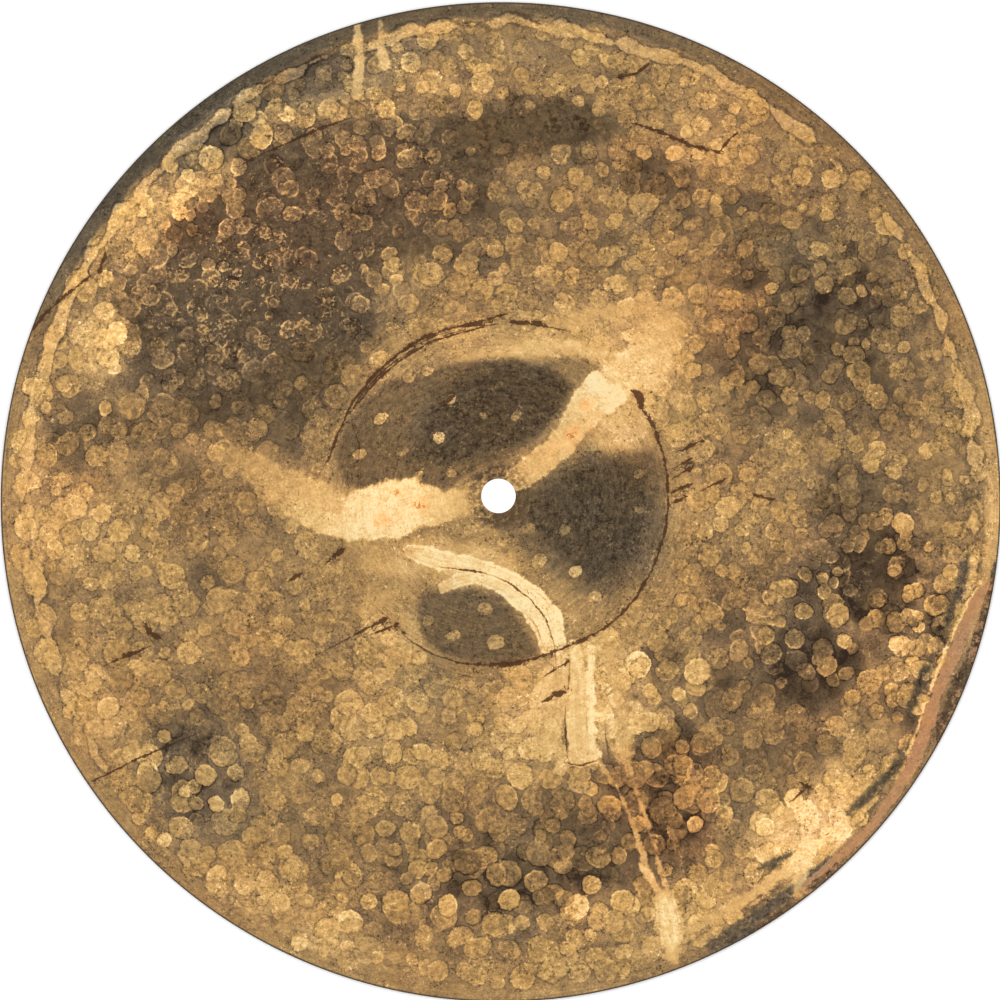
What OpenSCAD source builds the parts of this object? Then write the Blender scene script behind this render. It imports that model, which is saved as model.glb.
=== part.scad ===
// Crash cymbal: one bronze disc, hammered from a single casting, with a raised bell,
// a bowed body, a thin edge and a plain round hole for the stand.
// Z is the axis of the hole. The disc rests on its edge in the plane z = 0, bell upward.

/* [Disc] */
// Diameter across the edge
disc_d = 406.4; // [355.6:12.7:508]
// Thickness of the bronze at the hole
bell_t = 1.2; // [1:0.1:1.8]
// Thickness of the bronze at the edge
edge_t = 0.8; // [0.7:0.1:1.2]
// Width of the flat that the edge rests on
edge_land = 0.8; // [0.5:0.1:1.5]

/* [Bow] */
// Height of the underside above the resting plane, at the foot of the bell
bow_h = 22; // [16:1:30]

/* [Bell] */
// Diameter of the bell at its foot
bell_d = 134; // [110:1:150]
// Height that the bell rises above its foot
bell_h = 19; // [14:1:26]
// Radius of the hollow where the bell meets the bow
foot_r = 9; // [5:1:16]
// Diameter of the hole for the stand
hole_d = 13.7; // [11:0.1:15]

/* [Resolution] */
// Straight steps along the bow
bow_steps = 26; // [12:1:40]
// Straight steps along the bell
bell_steps = 18; // [8:1:30]
// Straight steps around the foot of the bell
foot_steps = 6; // [3:1:10]

/* [Hidden] */
disc_r = disc_d / 2;
land_r = disc_r - edge_land;
foot_x = bell_d / 2;
hole_r = hole_d / 2;

// Underside of the bow: a circle centred on the axis, through the inner rim of the
// land and the foot of the bell.
bow_c = (bow_h * bow_h + foot_x * foot_x - land_r * land_r) / (2 * bow_h);
bow_r = norm([land_r, bow_c]);

// Underside of the bell: a circle centred on the axis, through its foot and its crown.
bell_r = (foot_x * foot_x + bell_h * bell_h) / (2 * bell_h);
bell_c = bow_h + bell_h - bell_r;

// The hollow at the foot touches both circles from outside. Its centre is at the
// distance bell_far from the bell's centre and bow_far from the bow's.
hollow_r = foot_r + bell_t;
bell_far = bell_r + hollow_r;
bow_far = bow_r + hollow_r;
hollow_z = (bell_far * bell_far - bow_far * bow_far + bow_c * bow_c - bell_c * bell_c)
    / (2 * (bow_c - bell_c));
hollow_x = sqrt(bell_far * bell_far - pow(hollow_z - bell_c, 2));

// Where the arcs begin and end, as angles from the X axis about their own centres.
hole_a = acos(hole_r / bell_r);
bell_a = atan2(hollow_z - bell_c, hollow_x);
bow_a = atan2(hollow_z - bow_c, hollow_x);
land_a = atan2(-bow_c, land_r);
edge_a = acos(disc_r / bow_r);

// The bronze thins evenly from the hole to the edge.
function thickness(x) = bell_t + (edge_t - bell_t) * (x - hole_r) / (disc_r - hole_r);

// Pairs of a point on an arc and how steeply the bronze stands there, as the cosine
// of its slope.
function arc(centre, radius, from, to, steps) = [
    for (i = [0 : steps])
    let (a = from + (to - from) * i / steps, way = [cos(a), sin(a)])
    [centre + radius * way, abs(way.y)]
];

// The underside from the hole outward, without its repeated joints.
underside = concat(
    arc([0, bell_c], bell_r, hole_a, bell_a, bell_steps),
    [for (i = [1 : foot_steps - 1])
        arc([hollow_x, hollow_z], hollow_r, bell_a - 180, bow_a - 180, foot_steps)[i]],
    arc([0, bow_c], bow_r, bow_a, land_a, bow_steps)
);

// Straight above each underside point lies a point of the top, one thickness away.
function above(p) = p[0] + [0, thickness(p[0].x) / p[1]];

edge_top = above(arc([0, bow_c], bow_r, edge_a, edge_a, 1)[0]);

profile = concat(
    [for (p = underside) p[0]],
    [[disc_r, 0], edge_top],
    [for (i = [len(underside) - 1 : -1 : 0]) above(underside[i])]
);

module cymbal() {
    color([0.62, 0.49, 0.33])
        rotate_extrude($fn = 180)
            polygon(profile);
}

cymbal();
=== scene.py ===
import math
from collections import namedtuple

import bpy
import numpy as np
from mathutils import Matrix, Vector


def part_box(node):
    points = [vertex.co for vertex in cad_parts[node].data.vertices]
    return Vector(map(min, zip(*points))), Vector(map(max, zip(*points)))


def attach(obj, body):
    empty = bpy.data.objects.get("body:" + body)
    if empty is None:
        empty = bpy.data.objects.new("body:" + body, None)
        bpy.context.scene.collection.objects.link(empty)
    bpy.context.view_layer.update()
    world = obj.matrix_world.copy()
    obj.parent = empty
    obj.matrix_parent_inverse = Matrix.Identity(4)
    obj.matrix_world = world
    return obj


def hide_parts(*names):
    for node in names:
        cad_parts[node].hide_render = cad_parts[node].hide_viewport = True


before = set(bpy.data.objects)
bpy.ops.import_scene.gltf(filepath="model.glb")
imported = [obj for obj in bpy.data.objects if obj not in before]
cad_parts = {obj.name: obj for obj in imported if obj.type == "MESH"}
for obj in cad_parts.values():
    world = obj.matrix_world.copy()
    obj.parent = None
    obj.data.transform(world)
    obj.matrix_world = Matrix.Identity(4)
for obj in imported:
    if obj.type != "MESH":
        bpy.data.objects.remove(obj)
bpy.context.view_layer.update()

# ---------------------------------------------------------------- sizes, all in metres
MM = 0.001
disc_low, disc_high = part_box("cymbal")
disc_r = (disc_high.x - disc_low.x) / 2
# Places on the disc are given in hundredths of its radius, x to the right and y away from the viewer.
HUNDREDTH = disc_r / 100


def cad_profile():
    """The radii of the CAD disc's rings, with the height of its underside and its top at each."""
    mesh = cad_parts["cymbal"].data
    points = np.empty(len(mesh.vertices) * 3, np.float32)
    mesh.vertices.foreach_get("co", points)
    points = points.reshape(-1, 3)
    ring = np.round(np.hypot(points[:, 0], points[:, 1]), 5)
    radii = np.unique(ring)
    under = [points[ring == r, 2].min() for r in radii]
    top = [points[ring == r, 2].max() for r in radii]
    return radii, np.array(under), np.array(top)


PROFILE_R, PROFILE_UNDER, PROFILE_TOP = cad_profile()
hole_r = float(PROFILE_R[0])

# ---------------------------------------------------------------- smooth random fields
SEED = 16


def smooth_step(value, low, high):
    """0 below low, 1 above high, and a smooth rise between."""
    part = np.clip((value - low) / (high - low), 0, 1)
    return part * part * (3 - 2 * part)


def cloud(x, y, size, seed):
    """Smooth noise from -1 to 1, with lumps about as wide as size."""
    count = int(2.4 * disc_r / size) + 4
    heights = np.random.default_rng(SEED + seed).uniform(-1, 1, (count, count))
    along, up = (x + 1.15 * disc_r) / size, (y + 1.15 * disc_r) / size
    column = np.clip(np.floor(along).astype(int), 0, count - 2)
    row = np.clip(np.floor(up).astype(int), 0, count - 2)
    across = smooth_step(along - column, 0, 1)
    rise = smooth_step(up - row, 0, 1)
    near = heights[row, column] * (1 - across) + heights[row, column + 1] * across
    far = heights[row + 1, column] * (1 - across) + heights[row + 1, column + 1] * across
    return near * (1 - rise) + far * rise


# ---------------------------------------------------------------- the patina, as patches laid over each other
# A patch is (x, y, half length, half width, turn in degrees, value, strength), its lengths in hundredths.
# Tone is 0 for the blackest oxide and 1 for the brightest rubbed metal.
BASE_TONE = 0.5
TONE_PATCHES = [
    # upper left, the great oxide stain
    (-50, 32, 25, 18, 0, 0.16, 0.95), (-36, 58, 22, 13, 12, 0.24, 0.95), (-14, 60, 16, 14, 0, 0.24, 0.85),
    (-64, 38, 9, 9, 0, 0.24, 0.8), (-48, 18, 16, 8, 0, 0.26, 0.8), (-68, 26, 7, 6, 0, 0.3, 0.7),
    (-60, 54, 7, 4, 10, 0.24, 0.9), (-10, 70, 10, 6, 0, 0.22, 0.8), (-46, 70, 9, 4, 20, 0.2, 0.9),
    (-24, 68, 9, 7, 0, 0.4, 0.9),
    # top, and the upper right
    (6, 74, 17, 4.8, 3, 0.15, 1.0), (10, 65, 16, 4, 0, 0.38, 0.6), (31, 65, 9, 4.5, -12, 0.28, 0.8),
    (44, 77, 16, 7, -30, 0.55, 0.6), (38, 72, 9, 5, -10, 0.64, 0.8), (50, 56, 8, 5, 0, 0.26, 0.8),
    (33, 56, 5, 4, 0, 0.28, 0.7), (24, 49, 5, 4, 0, 0.3, 0.6), (6, 53, 16, 7, 0, 0.34, 0.6),
    (-4, 48, 8, 4, 0, 0.26, 0.8), (-38, 84, 16, 4, 24, 0.26, 0.8), (-42, 87, 7, 3, 25, 0.18, 0.8),
    # right
    (64, 36, 15, 13, 0, 0.23, 0.95), (66, 49, 15, 6, -10, 0.3, 0.7), (70, 20, 15, 8, 0, 0.28, 0.75),
    (51, 28, 7, 9, 0, 0.26, 0.8), (49, 47, 6, 5, 0, 0.24, 0.85), (52, 21, 7, 5, 0, 0.22, 0.8),
    (40, 26, 3, 6, 0, 0.34, 0.6), (72, -2, 11, 8, 0, 0.25, 0.8), (74, -17, 9, 9, -10, 0.18, 0.9),
    (63, -18, 5, 7, 0, 0.25, 0.8), (62, -33, 9, 8, 0, 0.17, 0.85), (80, -41, 4, 4, 0, 0.34, 0.7),
    (52, -38, 12, 7, 0, 0.26, 0.75), (54, -50, 12, 5, 0, 0.28, 0.7), (80, 38, 5, 8, 0, 0.3, 0.6),
    (47, -12, 7, 8, 0, 0.42, 0.5), (80, -9, 4, 4, 0, 0.2, 0.8), (88, -25, 3, 7, 0, 0.28, 0.8),
    (45, -24, 6, 5, 0, 0.3, 0.8),
    # bottom
    (30, -53, 12, 5, 12, 0.28, 0.9), (34, -64, 8, 8, 0, 0.2, 0.9), (14, -63, 12, 7, 0, 0.33, 0.9),
    (8, -75, 14, 6, 0, 0.25, 0.9), (-9, -65, 10, 6, 0, 0.42, 0.8), (-8, -74, 7, 5, 0, 0.28, 0.8),
    (46, -65, 8, 5, 20, 0.5, 0.7), (26, -70, 5, 7, 0, 0.26, 0.8), (40, -72, 5, 5, 0, 0.48, 0.7),
    (20, -72, 6, 4, 0, 0.2, 0.8), (56, -66, 8, 6, 40, 0.72, 0.8), (42, -80, 9, 5, 30, 0.7, 0.8),
    (54, -57, 8, 4, 0, 0.4, 0.6), (66, -56, 5, 4, 20, 0.68, 0.9), (16, -84, 14, 6, 0, 0.58, 0.7),
    (36, -88, 10, 5, 20, 0.66, 0.7),
    # lower left
    (-62, -46, 8, 4, 20, 0.38, 0.8), (-62, -60, 8, 5, 0, 0.36, 0.6), (-50, -38, 10, 5, 0, 0.34, 0.6),
    (-48, -62, 12, 8, 0, 0.38, 0.5), (-40, -46, 9, 8, 0, 0.36, 0.5), (-82, -42, 8, 16, 10, 0.62, 0.8),
    (-44, -82, 18, 7, -28, 0.72, 0.8), (-24, -40, 7, 13, 0, 0.64, 0.7), (6, -42, 7, 10, 0, 0.74, 0.8),
    (-26, -92, 14, 4, -12, 0.66, 0.7), (-40, -88, 6, 4, 0, 0.78, 0.8), (-72, -66, 8, 6, -50, 0.6, 0.9),
    (-28, -70, 12, 6, 0, 0.42, 0.6),
    # left
    (-86, 13, 8, 7, 0, 0.3, 0.75), (-68, 15, 12, 5, 0, 0.27, 0.7), (-56, -2, 12, 7, 0, 0.33, 0.6),
    (-84, -6, 7, 7, 0, 0.6, 0.7), (-95, 1, 4, 20, 0, 0.66, 0.9), (-80, 32, 7, 8, -10, 0.68, 0.9),
    (-70, 57, 9, 5.5, 35, 0.68, 0.95), (-58, 66, 6, 3.5, 15, 0.56, 0.85), (-72, 40, 5, 5, 0, 0.3, 0.8),
    (-13, 83, 4, 3, 0, 0.72, 0.8), (-66, 66, 5, 3, 45, 0.4, 0.6), (-56, 73, 8, 3.5, 38, 0.26, 0.9),
    (-40, 77.5, 4, 2.5, 25, 0.56, 0.7), (-16, 90, 6, 2.5, 0, 0.34, 0.8), (-66, 6, 7, 4, 0, 0.32, 0.7),
    # round the bell
    (2, 31, 22, 4, 4, 0.62, 0.8), (22, 36, 14, 6, 8, 0.64, 0.8), (33, 30, 5, 10, 0, 0.72, 0.8),
    (-20, 28, 9, 5, 35, 0.52, 0.8), (-32, 22, 4, 6, -40, 0.36, 0.6), (40, 0, 5, 7, 0, 0.62, 0.9),
    (25, 15, 7, 6, 25, 0.76, 0.95), (26, 32, 6, 4, 0, 0.78, 0.8), (-12, -13, 16, 4.5, -6, 0.76, 0.85),
    (-21, -24, 8, 7, -30, 0.68, 0.9), (-56, -16, 6, 5, 0, 0.33, 0.8), (23, -40, 8, 10, 0, 0.78, 0.9),
    (5, -48, 7, 8, 0, 0.64, 0.7), (33, -32, 4, 5, 0, 0.32, 0.8), (34, -47, 7, 4, 0, 0.24, 0.95),
    (44, -40, 6, 5, 0, 0.26, 0.8), (-14, -20, 8, 5, -20, 0.62, 0.7), (62, -66, 10, 7, 42, 0.88, 0.95),
    (30, -10, 3, 10, 0, 0.34, 0.6), (-6, -36, 14, 3, 0, 0.44, 0.5),
]
# Warmth is -1 for slate grey, 0 for plain bronze and 1 for red-brown; above 1.5 it makes orange flecks.
WARM_PATCHES = [
    (-35, 57, 26, 12, 10, 0.6, 0.8), (-62, 54, 7, 4, 10, 0.9, 0.8), (31, -57, 15, 9, 5, 0.8, 0.9),
    (48, 38, 7, 14, 0, 0.9, 0.8), (33, 66, 12, 6, -10, 0.8, 0.8), (-23, -4.5, 1.6, 1.2, 0, 4.0, 1.0),
    (-20.5, 0.8, 1, 0.9, 0, 3.0, 1.0), (14, 12, 7, 4, 55, 0.4, 0.8), (14.5, 12.6, 1.4, 1, 50, 3.0, 1.0),
    (17.4, 18.4, 1.6, 1, 50, 2.6, 1.0), (-15.4, -1.6, 1.4, 1, 0, 2.6, 1.0), (-26, -3, 8, 4, 0, 0.3, 0.6),
    (5, -76, 14, 6, 0, 0.3, 0.6), (62, -40, 8, 8, 0, 0.6, 0.6), (32, -72, 10, 6, 0, 0.7, 0.7),
    (38, 44, 12, 16, 0, 0.5, 0.5), (-60, -57, 10, 14, 20, -0.9, 0.8), (-56, 74, 12, 5, 38, -1.2, 0.9),
    (-32, 85, 18, 5, 20, -1.1, 0.9), (64, 50, 12, 5, 0, -0.5, 0.7), (2, 90, 20, 3, 0, -0.5, 0.6),
    (0, 17, 18, 8, 15, -0.6, 0.9), (19, -4, 14, 12, -15, -1.2, 0.9), (-7, -25, 11, 8, 0, -0.8, 0.8),
    (-15, -37, 6, 4, 0, -0.8, 0.7), (64, 34, 12, 10, 0, -0.4, 0.6), (-50, 30, 18, 14, 0, -0.2, 0.6),
    (80, -30, 10, 22, 0, 0.6, 0.8), (50, 72, 16, 14, -40, 0.5, 0.7), (34, -64, 10, 8, 0, 1.3, 0.8),
    (62, -64, 9, 6, 42, 0.5, 0.7), (-90, 0, 8, 22, 0, 0.4, 0.6),
]
# Contrast is how plainly the hammer marks stand out from the ground between them.
BASE_CONTRAST = 0.52
CONTRAST_PATCHES = [
    (6, 75, 18, 5.5, 3, 0.05, 1.0), (-60, -2, 22, 14, 0, 0.4, 0.8), (-38, -18, 16, 12, 0, 0.4, 0.8),
    (-44, -34, 18, 12, 0, 0.38, 0.8), (-58, -62, 24, 16, -25, 0.48, 0.9), (4, -76, 34, 14, 0, 0.75, 0.9),
    (54, 66, 28, 14, -45, 0.6, 0.8), (66, 36, 16, 16, 0, 0.72, 0.8), (-50, 34, 26, 18, 0, 0.4, 0.9),
    (-34, 58, 22, 12, 10, 0.45, 0.8), (-58, 72, 18, 7, 40, 0.9, 0.9), (82, -22, 9, 20, 0, 0.85, 0.8),
    (0, 86, 24, 6, 0, 0.5, 0.9), (-70, 57, 8, 6, 30, 0.6, 0.8), (32, -60, 16, 11, 0, 0.95, 0.95),
    (62, -65, 11, 8, 42, 0.45, 0.9), (-62, -56, 10, 12, 0, 1.2, 0.8), (4, -78, 20, 9, 0, 1.05, 0.8),
    (64, -26, 14, 14, 0, 1.0, 0.8), (84, -30, 6, 18, 0, 1.2, 0.8),
    (27, -41, 15, 11, 0, 0.8, 0.8),
]
# Specks are the small bright flakes that show through the oxide.
SPECK_PATCHES = [
    (-46, 44, 26, 14, 5, 1.0, 1.0), (-30, 62, 26, 12, 5, 0.8, 0.9), (-60, 28, 14, 8, 0, 0.8, 0.8),
    (66, -12, 10, 8, 0, 0.6, 0.8), (50, -28, 10, 8, 0, 0.5, 0.7), (-84, 18, 8, 8, 0, 0.4, 0.6),
    (94, -32, 5, 10, -20, 0.8, 0.9), (56, -82, 16, 4, 35, 0.7, 0.9),
]


def patch_reach(patch, x, y):
    """How far out each point lies in a patch's ellipse: 0 at its centre and 1 on its edge."""
    centre_x, centre_y, half_length, half_width, turn = [float(part) for part in patch[:5]]
    angle = math.radians(turn)
    aside, ahead = x / HUNDREDTH - centre_x, y / HUNDREDTH - centre_y
    along = (aside * math.cos(angle) + ahead * math.sin(angle)) / half_length
    across = (ahead * math.cos(angle) - aside * math.sin(angle)) / half_width
    return np.hypot(along, across)


def painted(patches, base, x, y):
    """The value at each point once the soft, ragged patches have been laid over the base, in their order."""
    ragged = 0.2 * cloud(x, y, 13 * MM, 1) + 0.12 * cloud(x, y, 5 * MM, 2)
    value = np.full(len(x), float(base))
    for patch in patches:
        cover = 1 - smooth_step(patch_reach(patch, x, y) + ragged, 0.7, 1.3)
        value += (patch[5] - value) * cover * patch[6]
    return value


RIM_BAND = 0.965
# The band outside the ring, as (bearing in degrees from +X, tone, smoothness, how plainly the ring shows).
RIM_BEARINGS = [
    (0, 0.7, 0.2, 0.9), (20, 0.48, 0.4, 0.9), (40, 0.42, 0.4, 0.5), (60, 0.38, 0.5, 0.8),
    (75, 0.3, 0.7, 0.9), (100, 0.24, 0.75, 0.9), (120, 0.16, 1.0, 1.0), (140, 0.15, 1.0, 1.0),
    (152, 0.27, 0.8, 0.9), (165, 0.46, 0.3, 0.8), (180, 0.56, 0.2, 1.0), (200, 0.58, 0.2, 0.9),
    (212, 0.56, 0.1, 0.4), (225, 0.5, 0.2, 0.2), (245, 0.6, 0.1, 0.2), (262, 0.55, 0.2, 0.3),
    (280, 0.56, 0.2, 0.2), (300, 0.46, 0.3, 0.3), (320, 0.42, 0.4, 0.3), (340, 0.48, 0.3, 0.3),
    (352, 0.68, 0.2, 0.7), (360, 0.7, 0.2, 0.9),
]


def rim_at(x, y):
    """Tone, smoothness and ring strength of the rim at each point's bearing."""
    bearing = np.degrees(np.arctan2(y, x)) % 360
    table = np.array(RIM_BEARINGS)
    return [np.interp(bearing, table[:, 0], table[:, column]) for column in (1, 2, 3)]


def ground_fields(x, y):
    """Tone, warmth, mark contrast and speck strength at each point."""
    radius = np.hypot(x, y) / disc_r
    tone = painted(TONE_PATCHES, BASE_TONE, x, y)
    warm = painted(WARM_PATCHES, 0.1, x, y)
    contrast = painted(CONTRAST_PATCHES, BASE_CONTRAST, x, y)
    specks = painted(SPECK_PATCHES, 0.0, x, y)
    tone += 0.05 * cloud(x, y, 16 * MM, 3) + 0.05 * cloud(x, y, 7 * MM, 4)
    warm += 0.25 * cloud(x, y, 22 * MM, 5)
    in_band = smooth_step(radius + 0.004 * cloud(x, y, 6 * MM, 6), RIM_BAND, RIM_BAND + 0.008)
    rim_tone, smoothness, _ = rim_at(x, y)
    tone += (rim_tone - tone) * in_band
    warm -= 4 * in_band * np.clip(smoothness - 0.5, 0, 0.5)
    contrast *= 1 - in_band * smoothness
    contrast *= 0.35 + 0.65 * smooth_step(radius + 0.01 * cloud(x, y, 9 * MM, 7), 0.33, 0.43)
    return tone, warm, contrast, specks


# ---------------------------------------------------------------- hammer marks
MARK_LAYERS = 5
MARK_PITCH = 11.6 * MM
MARK_R = 5.1 * MM
MARK_DEPTH = 0.09 * MM
MARK_SHARE = 0.8
MARK_JITTER = 0.7 * MM
# Each mark takes its tone from the ground a little way off, so that patches have ragged edges.
TONE_SHIFT = 2.2 * MM
MARKS_FROM = 0.345
MARKS_TO = 0.975
FAR = 4 * MM
# Points are compared with the marks so many at a time, to save memory.
CHUNK = 8000
# The few small marks on the bell, as (x, y, half width, tone), their lengths in hundredths.
BELL_MARKS = [
    (-9.5, 19.2, 1.1, 0.52), (-23.3, 15.6, 1.4, 0.58), (-11.7, 11.5, 1.1, 0.6), (-14.1, 25, 1.1, 0.54),
    (3.4, 15.8, 1.1, 0.38), (-2.9, 15.8, 0.9, 0.3), (-15.9, 3.9, 1.2, 0.48), (-27.5, 8.6, 1.3, 0.5),
    (-18.9, 9, 1.2, 0.34), (-9.2, 4.6, 1.1, 0.44), (-5.5, -6.8, 1.2, 0.6), (5.8, -6.4, 1.3, 0.38),
    (8, -12.7, 1.4, 0.55), (15.1, -14.7, 1.2, 0.62), (12.9, -6.6, 1.1, 0.34), (27.9, -2.4, 1.0, 0.4),
    (27.5, 4.6, 1.1, 0.34), (0.8, -9, 1.0, 0.56), (-2.6, -22, 1.4, 0.5), (-8.9, -27.2, 1.3, 0.54),
    (-0.7, -28.6, 1.6, 0.52), (-13.9, -24.2, 1.1, 0.42), (18.9, -19.6, 1.2, 0.56), (-20.7, -1.1, 1.1, 0.72),
    (7.7, 4.7, 1.1, 0.7), (11.2, 12.2, 1.3, 0.5), (12.5, -23.6, 1.2, 0.6), (-17.8, 23.8, 1.2, 0.5),
    (19.4, 8.4, 0.8, 0.24), (0, 22, 0.9, 0.22), (5, -2, 1.2, 0.26),
]


def lay_marks(layer):
    """One layer of hammer marks: x, y, radius, tone, lean angle, clearness and squash."""
    draw = np.random.default_rng(SEED + 100 + layer)
    reach = int(disc_r / MARK_PITCH) + 3
    step = np.arange(-reach, reach + 1)
    column, row = [part.ravel().astype(float) for part in np.meshgrid(step, step)]
    x = (column + 0.5 * (row % 2)) * MARK_PITCH + draw.normal(0, MARK_JITTER, len(column))
    y = row * MARK_PITCH * math.sin(math.radians(60)) + draw.normal(0, MARK_JITTER, len(column))
    turn = draw.uniform(0, math.pi)
    x, y = x * math.cos(turn) - y * math.sin(turn), x * math.sin(turn) + y * math.cos(turn)
    x, y = x + draw.uniform(-1, 1) * MARK_PITCH, y + draw.uniform(-1, 1) * MARK_PITCH
    radius = MARK_R * draw.uniform(0.55, 1.15, len(x))
    lean = draw.uniform(-math.pi, math.pi, len(x))
    clear = draw.uniform(0.25, 1, len(x)) ** 1.2
    squash = draw.uniform(1, 1.3, len(x))
    shift_x, shift_y = draw.normal(0, TONE_SHIFT, (2, len(x)))
    tone, _, contrast, specks = ground_fields(x + shift_x, y + shift_y)
    upper_right = smooth_step(x + y, 0.2 * disc_r, 0.8 * disc_r)
    crowd = MARK_SHARE + 0.9 * (tone - 0.4) + 0.5 * cloud(x, y, 11 * MM, 40) + 0.2 * upper_right
    crowd += draw.uniform(-0.5, 0.5, len(x))
    mark_tone = tone + contrast * (0.14 + 0.1 * draw.normal(0, 1, len(x)))
    radius *= 1 - 0.2 * specks - 0.18 * upper_right
    place = np.hypot(x, y) / disc_r
    _, smoothness, _ = rim_at(x, y)
    keep = (place < MARKS_TO - 0.03 * smoothness) & (place > MARKS_FROM) & (crowd > 0.5)
    return [part[keep] for part in (x, y, radius, mark_tone, lean, clear, squash)]


def lay_bell_marks():
    """The bell's own marks, in the same form as a layer."""
    x, y, radius, tone = np.array(BELL_MARKS).T
    radius, tone = 1.15 * radius, tone + 0.04
    draw = np.random.default_rng(SEED + 90)
    # Every bell mark leans about the same way, so their painted highlights and painted shade fall on the same
    # sides.
    lean = math.radians(-70) + draw.normal(0, 0.5, len(x))
    clear = draw.uniform(0.7, 1, len(x))
    squash = draw.uniform(1, 1.5, len(x))
    return x * HUNDREDTH, y * HUNDREDTH, radius * HUNDREDTH, tone, lean, clear, squash


def mark_fields(marks, x, y):
    """How far outside its nearest mark each point is, with that mark's lean, tone, clearness and depth."""
    mark_x, mark_y, mark_r, mark_tone, lean, clear, squash = marks
    lean_x, lean_y = np.cos(lean), np.sin(lean)
    edge, leaning, value, sure, depth = [np.empty(len(x)) for _ in range(5)]
    for start in range(0, len(x), CHUNK):
        some = slice(start, start + CHUNK)
        gap_x, gap_y = x[some, None] - mark_x, y[some, None] - mark_y
        along, across = gap_x * lean_x + gap_y * lean_y, gap_y * lean_x - gap_x * lean_y
        away = np.hypot(along * squash, across)
        nearest = np.argmin(away - mark_r, axis=1)
        pick = np.arange(len(nearest)), nearest
        reach = away[pick] / mark_r[nearest]
        edge[some] = away[pick] - mark_r[nearest]
        leaning[some] = along[pick] / mark_r[nearest]
        value[some] = mark_tone[nearest]
        sure[some] = clear[nearest]
        depth[some] = MARK_DEPTH * np.clip(1 - reach * reach, 0, 1)
    return np.minimum(edge, FAR), leaning, value, sure, depth


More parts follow.
